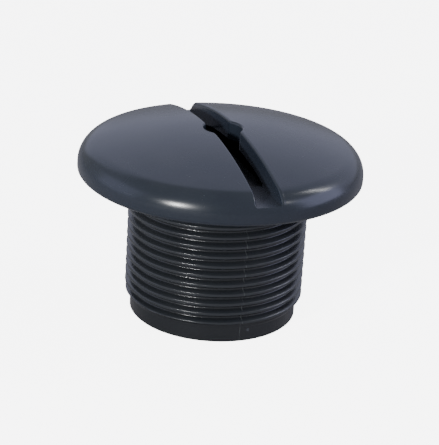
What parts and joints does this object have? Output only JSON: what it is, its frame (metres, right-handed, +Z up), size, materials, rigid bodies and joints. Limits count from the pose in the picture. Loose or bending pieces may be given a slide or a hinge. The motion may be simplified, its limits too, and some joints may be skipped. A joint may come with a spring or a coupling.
{
  "type": "cable grommet",
  "caption": "Round desk cable grommet: a domed cap with a cable slot from rim to rim that turns on a threaded sleeve.",
  "frame": {"origin": "centre of the sleeve's bottom rim, on the turning axis", "axes": "+Z up along the turning axis towards the dome; the cap's slot and the bar across the deck run along Y"},
  "size_m": [0.079, 0.079, 0.0542],
  "materials": {
    "cap_plastic": "satin moulded slate plastic",
    "sleeve_plastic": "satin moulded slate plastic, duller in the thread",
    "spring_steel": "plain spring steel",
    "ring_rubber": "smooth black rubber",
    "seal_rubber": "matt black rubber sheet"
  },
  "bodies": {
    "sleeve": {"threaded_sleeve": "sleeve_plastic", "snap_ring": "spring_steel", "flange_seal": "seal_rubber"},
    "cap": {"slotted_cap": "cap_plastic", "drag_ring": "ring_rubber"}
  },
  "joints": [
    {"name": "cap_turn", "type": "hinge", "parent": "sleeve", "child": "cap", "pos_m": [0, 0, 0.045], "axis": [0, 0, 1], "continuous": true}
  ]
}
